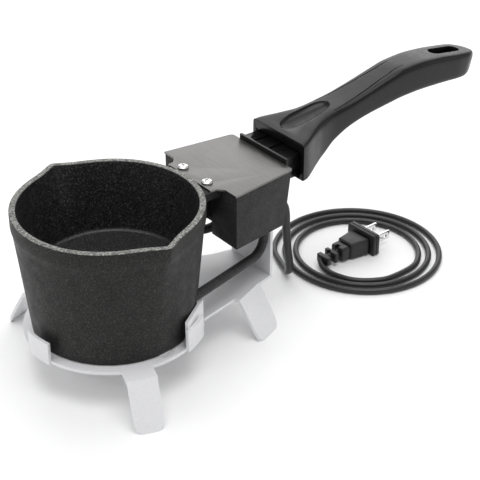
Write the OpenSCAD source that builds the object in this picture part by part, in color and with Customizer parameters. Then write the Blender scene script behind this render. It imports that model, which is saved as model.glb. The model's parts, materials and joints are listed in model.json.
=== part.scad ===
// Electric candle melting pot on a sheet-metal stand.
// Millimetres. +X runs from the pot to the handle, +Z is up, the table is z = 0,
// and the origin is under the middle of the object's own length.

/* [Pot] */
// Outer radius of the rim
rim_r = 57; // [54:0.5:58]
// Height of the rim above the table
rim_z = 107; // [104:1:110]
// Height of the pot's foot above the table
foot_z = 27; // [25:1:28]
// Wall thickness at the rim
rim_wall = 4; // [3:0.5:5]
// Depth of the bowl
bowl_depth = 45; // [40:1:48]
// How far a pouring lip stands out of the rim
lip_out = 6.4; // [4:0.2:8]

/* [Heater] */
// Radius of the heating tube
tube_r = 3; // [2.6:0.1:3]
// Height of the tube's centreline above the table
tube_z = 47.6; // [47.4:0.1:47.8]

/* [Housing] */
// Half width of the housing on the pot side
box_half_pot = 36.2; // [35:0.1:37]
// Half width of the housing on the handle side
box_half_grip = 29.6; // [29:0.1:31]
// Height of the housing's underside above the table
box_z = 68.4; // [68:0.1:70]
// Thickness of the housing's sheet
box_t = 1.5; // [1:0.1:2]

/* [Handle] */
// Where the handle ends, measured from the pot's axis
grip_end = 296; // [295:0.5:299]
// Length of the hanging hole
hang_len = 26; // [20:1:28]
// Width of the hanging hole
hang_w = 10; // [8:1:11]

/* [Stand] */
// Thickness of the stand's sheet
sheet = 2; // [1.5:0.1:2.2]
// Radius of the disc under the pot
disc_r = 55; // [54:0.5:56]
// Width of the front legs
leg_w = 18; // [14:1:20]
// Width of the rear legs
rear_leg_w = 24; // [20:1:25]
// How far a leg reaches outwards while it slopes down
leg_out = 15; // [13:1:17]

/* [Cord] */
// Diameter of the cord
cord_d = 4; // [3.5:0.1:4.2]
// Diameter of the sleeved stretch that hangs from the housing
sleeve_d = 5.4; // [5:0.1:5.6]

/* [Hidden] */

centre_x = (grip_end - rim_r) / 2;
$fn = 96;
eps = 0.01;

// pot
foot_r = 49.2;
skirt_in_r = 46.4;
band_h = 11;
band_step = 1.4;
floor_z = rim_z - bowl_depth;
floor_r = 42;
heat_pad_z = tube_z + tube_r;
floor_under_z = heat_pad_z + 6;
lip_half = 15;
lip_fade = 40;
lug_half = 22;
lug_end_x = 66.2;
lug_t = 5.3;
web_half = 9;
web_z = 78;

// housing and cover
box_x0 = 66.2;
box_x1_top = 113.5;
box_x1_low = 107.9;
box_top = rim_z - 3;
cover_t = 1.2;
notch_half = 11.6;
notch_x = 77;
notch_z = 77;
screw_x = 62.4;
screw_y = 12.2;
screw_r = 2;
screw_hole_r = 2.05;

// heater path: two straight runs are tangents of the loop inside the pot's foot
run_angle = 13.3;
loop_r = 43.1;
bend_r = 12;
riser_x = 99.8;
riser_y = loop_r / cos(run_angle) - riser_x * tan(run_angle);
riser_top = 84;
run_dir = [cos(run_angle), sin(run_angle), 0];
bend_from = [riser_x, -riser_y, tube_z + bend_r] - bend_r * run_dir;
half_heater = concat(
  [[riser_x, -riser_y, riser_top]],
  [for (a = [0:15:90]) bend_from + bend_r * (cos(a) * run_dir - [0, 0, sin(a)])],
  [for (k = [0:14])
    let (a = run_angle - 90 - k * (90 + run_angle) / 14)
    [loop_r * cos(a), loop_r * sin(a), tube_z]]
);

// handle adapter
lip_x0 = 114.6;
lip_x1 = 116.4;
lip_half_y = 23;
adapter_half = 20.6;
adapter_top = rim_z + 0.6;
adapter_low = 92.5;
groove_at = [-3.4, 10.4];
grip_x = 127.2;

// stand
leg_fold = 10.7;
front_leg_turn = 109.3;
leg_slant = atan2(foot_z - sheet / 2, leg_out);
rear_leg_fold = 0.9;
rear_leg_turn = 68;
rear_leg_at = [83.2, -26, 0];
arm_x = 107.5;
arm_half_end = 20;
arm_half_root = 36.5;
panel_top = box_z - 0.4;
tab_z = 39.5;
tab_half_angle = 10;
tab_angles = [-63, 63, 185];
ear_z = tube_z - tube_r - 0.4;
ear_d = 51.4;

// plug
plug_at = [206.6, 0.3];
plug_turn = 2;
plug_w = 26.4;
plug_h = 15.8;
plug_len = 39.6;
flange_t = 5.1;
flange_front = 1.5;
blade_gap = 12.7;
blade_len = 15.9;
plug_z = plug_h / 2;

// the cord's coil lies flat, and the cord drops to it from the housing
coil_at = [199.4, -2.7];
coil_in = 39;
coil_out = 60;
boot_at = [109.8, -6, 74];
boot_len = 17.7;
boot_pitch = 30;
boot_yaw = 13.5;

// route of the hanging stretch, from the boot's tip down to the coil
drop_route = [
  [127.3, -2.4, 64.9], [129, -2, 63.8], [131, -1.5, 62], [132.7, -1.1, 59.4], [133.6, -0.9, 56.2],
  [134, -0.9, 52.6], [134.1, -1, 47], [134.4, -1.2, 41], [134.8, -1.4, 35], [135.3, -1.5, 29],
  [135.9, -1.6, 23.5], [136.7, -1.6, 18.5], [137.5, -1.3, 14], [138.4, -0.4, 9.9],
  [139.5, 1.8, 6.2], [141, 5.2, 3.7], [142.6, 8.6, 2.8]
];
// route of the last stretch, from the coil into the plug
tail_route = [
  [190.5, -41.4, 2], [184, -38.9, 2], [178, -35.4, 2], [172.9, -31, 2], [169, -25.8, 2],
  [166.2, -19.6, 2.1], [164.4, -13.6, 2.3], [163.9, -8.2, 2.8], [164.6, -3.8, 3.5],
  [166.3, -0.2, 4.4], [169, 2.6, 5.3]
];
live_route = [
  [99.5, -8, 74], [96, -8, 79.5], [92, -6.5, 85], [88.8, -5, 88.4]
];
neutral_route = [
  [99.5, -4, 74], [97.6, 2, 76], [99, 10, 82], [99, 18, 90], [98.6, 20.4, 92]
];
cutout_route = [
  [78, -4, 97], [83, -8, 99], [90, -15, 98], [96, -20, 96], [98.2, -20.8, 93.6]
];

// handle stations: [x, half width, top, underside]
grip_stations = [
  [127.2, 25.2, 114.8, 89.9], [131, 24.2, 115.7, 89.7], [136, 22, 116.7, 90.6],
  [143, 18.6, 118.2, 92.3], [153, 14.6, 119.8, 95.2], [164, 12.6, 121.8, 101.4],
  [176, 12.2, 123.4, 106.4], [192, 11.9, 126.8, 110.1], [210, 11.8, 131.2, 112.4],
  [225, 12, 134.4, 114.1], [240, 12.3, 135.2, 114.7], [258, 12.5, 133.9, 114.3],
  [273, 12.5, 131.8, 113.6], [284, 11.6, 130.2, 112.8], [290, 9.2, 128.6, 112.6],
  [293.5, 6.4, 127.4, 112.8], [grip_end, 2.8, 126.2, 113.4]
];

// ---- helpers ------------------------------------------------------------

module in_place() {
  translate([-centre_x, 0, 0]) children();
}

module both_sides() {
  children();
  mirror([0, 1, 0]) children();
}

function unit(v) = v / norm(v);

// rings across a path: s is square to the path and to a fixed reference direction
function ring(p, d, ref, r, n) =
  let (s = unit(cross(ref, d)), l = unit(cross(d, s)))
  [for (k = [0:n - 1]) p + r * (cos(360 * k / n) * s + sin(360 * k / n) * l)];
function heading(path, i) =
  unit(path[min(i + 1, len(path) - 1)] - path[max(i - 1, 0)]);
function flip(p) = [p[0], -p[1], p[2]];
function loft_faces(rings, n) = concat(
  [[for (k = [0:n - 1]) k]],
  [for (i = [0:rings - 2], k = [0:n - 1])
    [i * n + k, (i + 1) * n + k, (i + 1) * n + (k + 1) % n]],
  [for (i = [0:rings - 2], k = [0:n - 1])
    [i * n + k, (i + 1) * n + (k + 1) % n, i * n + (k + 1) % n]],
  [[for (k = [n - 1:-1:0]) (rings - 1) * n + k]]
);

module swept_tube(path, r, n = 8, ref = [0, 0, 1]) {
  points = [for (i = [0:len(path) - 1]) each ring(path[i], heading(path, i), ref, r, n)];
  polyhedron(points = points, faces = loft_faces(len(path), n), convexity = 6);
}

function signed_power(v, e) = sign(v) * pow(abs(v), e);
// rounded-box outline across the handle at one station; near the end its foot leans inwards
function grip_ring(s, n, e = 0.3) = [
  for (k = [0:n - 1])
    let (a = 360 * (k + 0.5) / n)
    let (half = (s[2] - s[3]) / 2)
    let (rise = half * signed_power(sin(a), e))
    let (lean = 0.28 * min(max((s[0] - 250) / 40, 0), 1))
    [s[0] + lean * (rise - half), s[1] * signed_power(cos(a), e), s[3] + half + rise]
];

module rod_x(x0, x1, y, z, r) {
  translate([x0, y, z]) rotate([0, 90, 0]) cylinder(h = x1 - x0, r = r);
}

module pan_screw(r, length, head_r, head_h) {
  cylinder(h = head_h, r1 = head_r, r2 = head_r * 0.7);
  translate([0, 0, -length]) cylinder(h = length, r = r);
}

// ---- pot and what closes its foot ---------------------------------------

module lip_prism(out, half, top_z, low_z) {
  hull() {
    translate([0, 0, top_z - 1])
      linear_extrude(height = 1)
        polygon([[-half, -rim_r + 6], [half, -rim_r + 6],
                 [2.2, -rim_r - out + 1], [0, -rim_r - out], [-2.2, -rim_r - out + 1]]);
    translate([0, -foot_r + 2, low_z]) cylinder(h = 1, r = 2, $fn = 24);
  }
}

module pot_lug() {
  translate([rim_r - 10, -lug_half, box_top - lug_t])
    cube([lug_end_x - rim_r + 10, 2 * lug_half, lug_t]);
  translate([rim_r - 10, -web_half, web_z])
    cube([lug_end_x - rim_r + 10, 2 * web_half, box_top - lug_t - web_z + eps]);
}

module pot() {
  bowl_r = rim_r - rim_wall;
  in_place() color([0.2, 0.2, 0.21])
    difference() {
      union() {
        rotate_extrude($fn = 144)
          polygon([[0, floor_under_z], [0, rim_z], [rim_r - 0.8, rim_z],
                   [rim_r, rim_z - 0.8], [rim_r, rim_z - band_h],
                   [rim_r - band_step, rim_z - band_h - 1.4],
                   [foot_r, foot_z + 1], [foot_r - 1, foot_z],
                   [skirt_in_r, foot_z], [skirt_in_r, heat_pad_z],
                   [36, heat_pad_z], [34, floor_under_z]]);
        pot_lug();
        both_sides() lip_prism(lip_out, lip_half, rim_z, rim_z - lip_fade);
      }
      rotate_extrude($fn = 144)
        polygon([[0, floor_z], [floor_r, floor_z], [floor_r + 3.4, floor_z + 1.4],
                 [floor_r + 5, floor_z + 5], [bowl_r, rim_z + eps], [0, rim_z + eps]]);
      both_sides()
        translate([0, rim_wall, 0.02])
          lip_prism(lip_out, lip_half - 2, rim_z, rim_z - lip_fade + 12);
      both_sides()
        rotate([0, 0, run_angle])
          translate([0, -loop_r, tube_z])
            rotate([0, 90, 0]) cylinder(h = 40, r = tube_r + 0.3);
      both_sides()
        translate([screw_x, screw_y, box_top - lug_t - 1])
          cylinder(h = lug_t + 2, r = screw_hole_r);
      both_sides() rod_x(58, lug_end_x + 1, 5, 86, 1.55);
      translate([0, 0, floor_under_z - eps]) cylinder(h = 4, r = 3.05);
    }
}

module heating_element() {
  in_place() color([0.14, 0.14, 0.15])
    swept_tube(concat(half_heater, [for (i = [len(half_heater) - 2:-1:0]) flip(half_heater[i])]),
               tube_r, 12, [1, 0, -1]);
}

module element_terminals() {
  in_place() color([0.9, 0.88, 0.82])
    both_sides()
      translate([riser_x, -riser_y, riser_top]) {
        cylinder(h = 5, r = 2.6);
        translate([0, 0, 5]) cylinder(h = 6, r = 1);
      }
}

module element_collars() {
  in_place() color([0.75, 0.66, 0.4])
    both_sides()
      translate([riser_x, -riser_y, box_z + box_t])
        difference() {
          cylinder(h = 4, r = 6, $fn = 6);
          translate([0, 0, -1]) cylinder(h = 6, r = tube_r);
        }
}

module element_clamp() {
  in_place() color([0.6, 0.6, 0.6])
    difference() {
      translate([0, 0, tube_z - tube_r - 3]) cylinder(h = 3, r = 45.6);
      translate([0, 0, tube_z - tube_r - 4]) cylinder(h = 5, r = 3.2);
    }
}

module base_stud() {
  in_place() color([0.7, 0.7, 0.7])
    translate([0, 0, foot_z + 1.2])
      cylinder(h = floor_under_z + 3.5 - foot_z - 1.2, r = 3);
}

module stud_nut(z) {
  translate([0, 0, z])
    difference() {
      cylinder(h = 3, r = 5.8, $fn = 6);
      translate([0, 0, -1]) cylinder(h = 5, r = 3.05);
    }
}

module clamp_nut() {
  in_place() color([0.7, 0.7, 0.7]) stud_nut(tube_z - tube_r - 6);
}

module base_insulation() {
  in_place() color([0.88, 0.86, 0.8])
    difference() {
      translate([0, 0, foot_z + 5.4]) cylinder(h = tube_z - tube_r - 8.4 - foot_z, r = 45.6);
      translate([0, 0, foot_z + 4]) cylinder(h = 14, r = 8);
    }
}

module base_cover() {
  in_place() color([0.3, 0.3, 0.31])
    difference() {
      translate([0, 0, foot_z + 4.4]) cylinder(h = 1, r = 46);
      translate([0, 0, foot_z + 4]) cylinder(h = 2, r = 3.2);
    }
}

module base_cover_nut() {
  in_place() color([0.7, 0.7, 0.7]) stud_nut(foot_z + 1.4);
}

// ---- heater housing -------------------------------------------------------

module box_plan(inset) {
  polygon([[box_x0 + inset, -box_half_pot + inset], [box_x1_top + 4, -box_half_grip + inset + 0.5],
           [box_x1_top + 4, box_half_grip - inset - 0.5], [box_x0 + inset, box_half_pot - inset]]);
}

module box_profile(inset, top) {
  rotate([90, 0, 0])
    translate([0, 0, -60])
      linear_extrude(height = 120)
        polygon([[box_x0 + inset, box_z + inset], [box_x1_low - inset, box_z + inset],
                 [box_x1_top - inset, box_top], [box_x1_top - inset, top],
                 [box_x0 + inset, top]]);
}

module box_block(inset, top) {
  intersection() {
    translate([0, 0, box_z - 1]) linear_extrude(height = 60) box_plan(inset);
    box_profile(inset, top);
  }
}

module notch(grow) {
  translate([box_x0 - 1, -notch_half - grow, box_z - 1])
    cube([notch_x - box_x0 + 1 + grow, 2 * (notch_half + grow), notch_z - box_z + 1 + grow]);
}

module housing() {
  in_place() color([0.17, 0.17, 0.18])
    difference() {
      box_block(0, box_top);
      difference() {
        box_block(box_t, box_top + 2);
        notch(box_t);
      }
      notch(0);
      both_sides()
        translate([riser_x, -riser_y, box_z - 1]) cylinder(h = 4, r = tube_r + 0.1);
      both_sides() rod_x(box_x0 - 1, box_x0 + box_t + 1, 5, 86, 1.7);
      both_sides() rod_x(box_x1_low, box_x1_top + 1, 15, 98, 1.7);
      rod_x(box_x1_low - 3, box_x1_top, boot_at[1], boot_at[2], 3.6);
    }
}

module housing_screws() {
  in_place() color([0.7, 0.7, 0.7])
    both_sides()
      translate([box_x0 + box_t, 5, 86]) rotate([0, 90, 0]) pan_screw(1.5, 8, 3, 2);
}

module mica_sheet() {
  in_place() color([0.8, 0.72, 0.55])
    translate([0, 0, box_top - 1])
      linear_extrude(height = 1)
        polygon([[box_x0 + 2, -box_half_pot + 3], [box_x1_top - 3, -box_half_grip + 3],
                 [box_x1_top - 3, box_half_grip - 3], [box_x0 + 2, box_half_pot - 3]]);
}

module cover_outline() {
  round_r = 2.2;
  x_end = box_x1_top + 0.9;
  difference() {
    union() {
      polygon([[58, -lug_half + 0.6], [62, -lug_half], [box_x0 - 0.6, -26.2],
               [box_x0 - 0.6, -box_half_pot - 0.4], [x_end - round_r, -box_half_grip - 0.9],
               [x_end, -box_half_grip + round_r], [x_end, box_half_grip - round_r],
               [x_end - round_r, box_half_grip + 0.9], [box_x0 - 0.6, box_half_pot + 0.4],
               [box_x0 - 0.6, 26.2], [62, lug_half], [58, lug_half - 0.6]]);
      for (side = [-1, 1])
        translate([x_end - round_r, side * (box_half_grip - round_r + 0.7)]) circle(r = round_r);
    }
    circle(r = rim_r + 1.4);
    for (side = [-1, 1]) translate([screw_x, side * screw_y]) circle(r = screw_r + 0.2);
  }
}

module cover_plate() {
  in_place() color([0.74, 0.74, 0.73])
    translate([0, 0, box_top]) linear_extrude(height = cover_t) cover_outline();
}

module cover_screws() {
  in_place() color([0.85, 0.85, 0.86])
    both_sides()
      translate([screw_x, screw_y, box_top + cover_t]) pan_screw(screw_r, 6, 3.5, 2.2);
}

// ---- handle ---------------------------------------------------------------

module handle_adapter() {
  in_place() color([0.1, 0.1, 0.11])
    difference() {
      union() {
        rotate([90, 0, 0])
          translate([0, 0, -adapter_half])
            linear_extrude(height = 2 * adapter_half)
              polygon([[lip_x0 - 1.05, box_top - 0.1], [lip_x0 - 2.85, adapter_low],
                       [grip_x + 1.4, adapter_low], [grip_x + 1.4, adapter_top],
                       [lip_x0, adapter_top], [lip_x0, box_top - 0.1]]);
        translate([lip_x0, -lip_half_y, adapter_low - 0.5])
          cube([lip_x1 - lip_x0, 2 * lip_half_y, adapter_top - adapter_low + 1.1]);
        translate([grip_x, -9, 96]) cube([16, 18, 9]);
      }
      for (y = groove_at)
        translate([lip_x1, y - 0.9, adapter_top - 2]) cube([14, 1.8, 3]);
      tang_bar(0.1);
      both_sides() rod_x(box_x1_top - 3, lip_x1 + 6, 15, 98, 1.55);
    }
}

module adapter_screws() {
  in_place() color([0.7, 0.7, 0.7])
    both_sides()
      translate([box_x1_top - box_t - 1.7, 15, 98])
        rotate([0, -90, 0]) pan_screw(1.5, 9.6, 3, 2);
}

module hang_slot() {
  mid = 270;
  reach = (hang_len - hang_w) / 2;
  for (x = [mid - reach, mid + reach])
    translate([x, 0, 100]) cylinder(h = 50, r = hang_w / 2, $fn = 48);
  translate([mid - reach, -hang_w / 2, 100]) cube([2 * reach, hang_w, 50]);
}

module tang_bar(grow) {
  translate([grip_x - 7.9, 0, 100.5])
    rotate([0, -14, 0])
      translate([0, -6 - grow, -1.5 - grow]) cube([58 + grow, 12 + 2 * grow, 3 + 2 * grow]);
}

module handle() {
  n = 24;
  in_place() color([0.09, 0.09, 0.1])
    difference() {
      polyhedron(points = [for (s = grip_stations) each grip_ring(s, n)],
                 faces = loft_faces(len(grip_stations), n), convexity = 4);
      translate([grip_x - 1, -adapter_half - 0.1, adapter_low - 0.1])
        cube([2.5, 2 * adapter_half + 0.2, adapter_top - adapter_low + 0.2]);
      translate([grip_x - 1, -9.1, 95.9]) cube([17.2, 18.2, 9.2]);
      tang_bar(0.1);
      translate([166, 0, 95]) cylinder(h = 17, r = 2.1);
      translate([166, 0, 95]) cylinder(h = 9.5, r = 4);
      hang_slot();
    }
}

module handle_tang() {
  in_place() color([0.66, 0.66, 0.66])
    difference() {
      intersection() {
        tang_bar(0);
        translate([grip_x - 7.9, -6, 90]) cube([90, 12, 50]);
      }
      translate([166, 0, 95]) cylinder(h = 30, r = 2.05);
    }
}

module handle_screw() {
  in_place() color([0.6, 0.6, 0.6])
    translate([166, 0, 104.4]) rotate([180, 0, 0]) pan_screw(2, 8.5, 3.6, 2.2);
}

// ---- inside the housing -----------------------------------------------------

module thermal_cutout() {
  in_place() color([0.85, 0.8, 0.7]) {
    rod_x(box_x0 + box_t, box_x0 + box_t + 6, 0, 96, 5.4);
    translate([box_x0 + box_t + 6, -5, 94.6]) cube([4.3, 2, 3.6]);
    translate([box_x0 + box_t + 6, 3, 94.6]) cube([4.3, 2, 3.6]);
  }
}

module terminal_block() {
  in_place() color([0.92, 0.91, 0.88])
    difference() {
      translate([80, -9, box_z + box_t]) cube([9, 18, 20]);
      for (side = [-1, 1]) rod_x(86, 90, side * 5, 88, 1.6);
    }
}

module live_wire() {
  in_place() color([0.5, 0.3, 0.15]) swept_tube(live_route, 1.1);
}

module neutral_wire() {
  in_place() color([0.85, 0.85, 0.82]) swept_tube(neutral_route, 1.1);
}

module cutout_wire() {
  in_place() color([0.8, 0.3, 0.2]) swept_tube(cutout_route, 1.1);
}

module cord_clamp() {
  in_place() color([0.15, 0.15, 0.15])
    difference() {
      translate([99.5, boot_at[1] - 8.6, box_z + box_t]) cube([4.9, 17.2, 9]);
      rod_x(99, 106, boot_at[1], boot_at[2], cord_d / 2);
    }
}

module cord_clamp_screws() {
  in_place() color([0.7, 0.7, 0.7])
    for (side = [-1, 1])
      translate([102, boot_at[1] + side * 5.6, box_z + box_t + 9]) cylinder(h = 1.8, r = 2.3);
}

module cord_bushing() {
  in_place() color([0.08, 0.08, 0.08])
    difference() {
      union() {
        rod_x(boot_at[0] - 3.8, boot_at[0], boot_at[1], boot_at[2], 3.5);
        rod_x(boot_at[0] - 5.2, boot_at[0] - 3.7, boot_at[1], boot_at[2], 3.9);
      }
      rod_x(boot_at[0] - 6, boot_at[0] + 1, boot_at[1], boot_at[2], cord_d / 2);
    }
}

module cord_boot() {
  in_place() color([0.1, 0.1, 0.1]) {
    rod_x(100.6, boot_at[0] + 1, boot_at[1], boot_at[2], cord_d / 2 - 0.1);
    rod_x(boot_at[0], boot_at[0] + 3.4, boot_at[1], boot_at[2], 5);
    translate([boot_at[0] + 2.4, boot_at[1], boot_at[2] - 0.2])
      rotate([0, 90 + boot_pitch, boot_yaw]) cylinder(h = boot_len, r1 = 4.2, r2 = sleeve_d / 2 + 0.3);
  }
}

// ---- stand ------------------------------------------------------------------

module rim_tab(angle) {
  rotate([0, 0, angle - tab_half_angle])
    rotate_extrude(angle = 2 * tab_half_angle, $fn = 144)
      translate([disc_r - 0.2, foot_z - sheet]) square([sheet, tab_z - foot_z + sheet]);
}

module at_legs() {
  both_sides() {
    rotate([0, 0, -front_leg_turn]) translate([disc_r - 0.5, 0, 0]) children(0);
    translate(rear_leg_at) rotate([0, 0, -rear_leg_turn]) children(1);
  }
}

// the level root of a leg, as part of the flat blank
module leg_root(root_len, w) {
  translate([-6, -w / 2 - 0.3]) square([6 + root_len, w + 0.6]);
}

// a leg slopes down from the fold at the end of its root to a rounded tip on the table
module leg_slope(root_len, w) {
  tip = root_len + foot_z / tan(leg_slant);
  half = w / 2;
  intersection() {
    translate([0, half, 0])
      rotate([90, 0, 0])
        linear_extrude(height = w)
          polygon([[root_len - sheet * tan(leg_slant / 2), foot_z - sheet + 0.1],
                   [tip - sheet / sin(leg_slant), 0], [tip, 0], [root_len, foot_z - 0.1]]);
    translate([0, 0, -1])
      linear_extrude(height = foot_z + 2)
        polygon([[-7, -half - 1], [tip - 6, -half - 1], [tip - 6, -half], [tip - 3, 0.6 - half],
                 [tip - 1, 2 - half], [tip, 4.4 - half], [tip, half - 4.4], [tip - 1, half - 2],
                 [tip - 3, half - 0.6], [tip - 6, half], [tip - 6, half + 1], [-7, half + 1]]);
  }
}

// upright ear beside the mouth of the arm, which carries one run of the heater
module ear() {
  rotate([0, 0, -56])
    translate([ear_d, -14, 0]) {
      translate([0, 0, foot_z + 1.6]) cube([sheet, 26, ear_z - foot_z - 1.6]);
      translate([0, 16, foot_z - sheet]) cube([sheet, 10, 6]);
    }
}

module stand_blank() {
  difference() {
    union() {
      circle(r = disc_r);
      polygon([[0, -arm_half_root], [30, -arm_half_root], [arm_x, -arm_half_end],
               [arm_x, arm_half_end], [30, arm_half_root], [0, arm_half_root]]);
      at_legs() {
        leg_root(leg_fold, leg_w);
        leg_root(rear_leg_fold, rear_leg_w);
      }
    }
    circle(r = 20);
    both_sides() rotate([0, 0, 85.5]) translate([38, -4.2]) square([14.4, 8.4]);
  }
}

module stand() {
  in_place() color([0.78, 0.78, 0.78]) {
    translate([0, 0, foot_z - sheet]) linear_extrude(height = sheet) stand_blank();
    translate([arm_x - sheet, -arm_half_end, foot_z - sheet])
      cube([sheet, 2 * arm_half_end, panel_top - foot_z + sheet]);
    for (angle = tab_angles) rim_tab(angle);
    both_sides() ear();
    at_legs() {
      leg_slope(leg_fold, leg_w);
      leg_slope(rear_leg_fold, rear_leg_w);
    }
  }
}

// ---- cord and plug ------------------------------------------------------------

module cord_drop() {
  in_place() color([0.1, 0.1, 0.1]) swept_tube(drop_route, sleeve_d / 2 - 0.1, 10, [-0.85, 0.53, 0]);
}

module cord_coil() {
  in_place() color([0.13, 0.13, 0.13])
    translate([coil_at[0], coil_at[1], 0])
      rotate_extrude()
        translate([coil_in, 0]) square([coil_out - coil_in, cord_d]);
}

module cord_tail() {
  in_place() color([0.13, 0.13, 0.13]) swept_tube(tail_route, cord_d / 2, 8);
}

module at_plug() {
  translate([plug_at[0], plug_at[1], 0]) rotate([0, 0, plug_turn]) children();
}

module plug_body() {
  in_place() color([0.09, 0.09, 0.1])
    at_plug() {
      translate([flange_front - flange_t, -plug_w / 2, 0]) cube([flange_t, plug_w, plug_h]);
      translate([-4.7, -8, 1]) cube([1.2, 16, 11]);
      hull() {
        translate([-5.6, -9, 0.6]) cube([1, 18, 12.2]);
        translate([-19, -7.1, 0.6]) cube([1, 14.2, 12.2]);
      }
      translate([-26.2, -5.9, 1.5]) cube([7.4, 11.8, 9.9]);
      translate([-32.6, -5.5, 2.6]) cube([3, 11, 7.4]);
      translate([-plug_len, -5.2, 2.6]) cube([3.6, 11, 6]);
      translate([-plug_len + 2, -2.4, 3.4]) cube([plug_len - 24, 4.8, 4.6]);
    }
}

module plug_blades() {
  in_place() color([0.86, 0.86, 0.87])
    at_plug()
      for (side = [-1, 1])
        translate([flange_front, side * blade_gap / 2 - 0.75, plug_z - 3.17])
          difference() {
            cube([blade_len, 1.5, 6.35]);
            translate([blade_len - 4, -1, 3.17]) rotate([-90, 0, 0]) cylinder(h = 4, r = 1.5);
          }
}

pot();
heating_element();
element_terminals();
element_collars();
element_clamp();
base_stud();
clamp_nut();
base_insulation();
base_cover();
base_cover_nut();
housing();
housing_screws();
mica_sheet();
cover_plate();
cover_screws();
handle_adapter();
adapter_screws();
handle();
handle_tang();
handle_screw();
thermal_cutout();
terminal_block();
live_wire();
neutral_wire();
cutout_wire();
cord_clamp();
cord_clamp_screws();
cord_bushing();
cord_boot();
stand();
cord_drop();
cord_coil();
cord_tail();
plug_body();
plug_blades();
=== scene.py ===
import json
import math

import bmesh
import bpy
from mathutils import Matrix, Vector


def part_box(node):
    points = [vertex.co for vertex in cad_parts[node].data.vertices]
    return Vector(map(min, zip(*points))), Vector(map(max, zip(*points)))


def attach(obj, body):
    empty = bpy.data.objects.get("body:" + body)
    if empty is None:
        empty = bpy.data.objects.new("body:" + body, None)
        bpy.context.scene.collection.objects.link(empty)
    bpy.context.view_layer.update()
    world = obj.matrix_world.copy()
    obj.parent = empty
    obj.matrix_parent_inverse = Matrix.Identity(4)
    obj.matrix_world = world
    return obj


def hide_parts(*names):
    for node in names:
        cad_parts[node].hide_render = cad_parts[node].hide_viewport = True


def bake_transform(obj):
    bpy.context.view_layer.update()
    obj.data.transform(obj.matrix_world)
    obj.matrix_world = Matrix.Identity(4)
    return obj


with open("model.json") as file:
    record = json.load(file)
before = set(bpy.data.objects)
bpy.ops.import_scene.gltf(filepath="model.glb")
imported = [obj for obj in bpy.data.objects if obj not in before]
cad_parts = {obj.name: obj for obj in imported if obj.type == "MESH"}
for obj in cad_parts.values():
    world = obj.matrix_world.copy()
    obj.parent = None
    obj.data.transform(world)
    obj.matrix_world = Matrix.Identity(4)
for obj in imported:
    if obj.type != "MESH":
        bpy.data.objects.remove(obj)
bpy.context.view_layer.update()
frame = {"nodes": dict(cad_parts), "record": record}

MM = 0.001
# The pot's upright axis. Places below are millimetres from that axis, with the table at z = 0.
RIM_R = 57.0
AXIS_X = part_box("pot")[0].x + RIM_R * MM
RIM_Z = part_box("pot")[1].z / MM
FOOT_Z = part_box("pot")[0].z / MM
COVER_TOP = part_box("cover_plate")[1].z / MM
BOX_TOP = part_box("cover_plate")[0].z / MM


def place(x, y, z):
    """A point in millimetres from the pot's axis, in the frame's metres."""
    return Vector((AXIS_X + x * MM, y * MM, z * MM))


def clamped(v, low, high):
    return min(max(v, low), high)


# ---- camera -------------------------------------------------------------

CAMERA_AT = (-364.8, -593.1, 497.3)
TOWARDS_CAMERA = Vector((-0.52694, -0.67687, 0.51400))
camera_data = bpy.data.cameras.new("camera")
camera_data.lens = 103.05
camera_data.sensor_width = 36
camera = bpy.data.objects.new("camera", camera_data)
bpy.context.collection.objects.link(camera)
camera.location = place(*CAMERA_AT)
camera.rotation_euler = (-TOWARDS_CAMERA).to_track_quat("-Z", "Y").to_euler()
bpy.context.scene.camera = camera
bpy.context.scene.view_settings.view_transform = "Standard"


# ---- mesh helpers -------------------------------------------------------

def finish_mesh(obj, sharp=35):
    """Smooth shading, broken where faces meet at more than `sharp` degrees."""
    obj.data.validate()
    obj.data.polygons.foreach_set("use_smooth", [True] * len(obj.data.polygons))
    obj.data.set_sharp_from_angle(angle=math.radians(sharp))
    obj.data.update()
    return obj


def new_piece(name, verts, faces, sharp=35):
    """An object from points in metres, with its faces turned outwards."""
    mesh = bpy.data.meshes.new(name)
    mesh.from_pydata([tuple(v) for v in verts], [], faces)
    obj = bpy.data.objects.new(name, mesh)
    bpy.context.collection.objects.link(obj)
    bm = bmesh.new()
    bm.from_mesh(mesh)
    bmesh.ops.recalc_face_normals(bm, faces=bm.faces)
    bm.to_mesh(mesh)
    bm.free()
    return finish_mesh(obj, sharp)


def apply_modifiers(obj, sharp=35):
    """Swap the mesh for what its modifiers make of it."""
    bpy.context.view_layer.update()
    graph = bpy.context.evaluated_depsgraph_get()
    mesh = bpy.data.meshes.new_from_object(obj.evaluated_get(graph))
    old = obj.data
    obj.modifiers.clear()
    obj.data = mesh
    bpy.data.meshes.remove(old)
    mesh.name = obj.name
    return finish_mesh(obj, sharp)


def bevel(obj, width, segments=2, limit=30, sharp=35):
    """Round the edges that turn by more than `limit` degrees, `width` millimetres wide."""
    step = obj.modifiers.new("bevel", "BEVEL")
    step.width = width * MM
    step.segments = segments
    step.limit_method = "ANGLE"
    step.angle_limit = math.radians(limit)
    step.use_clamp_overlap = True
    return apply_modifiers(obj, sharp)


def carve(obj, tools, sharp=35):
    """Cut the tools out of the object, and delete them."""
    for tool in tools:
        step = obj.modifiers.new("boolean", "BOOLEAN")
        step.operation = "DIFFERENCE"
        step.solver = "EXACT"
        step.object = tool
    apply_modifiers(obj, sharp)
    for tool in tools:
        bpy.data.objects.remove(tool)
    return obj


def weld(obj, distance):
    """Join points that lie within `distance` millimetres of each other."""
    bm = bmesh.new()
    bm.from_mesh(obj.data)
    bmesh.ops.remove_doubles(bm, verts=bm.verts, dist=distance * MM)
    bm.to_mesh(obj.data)
    bm.free()
    return obj


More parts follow.
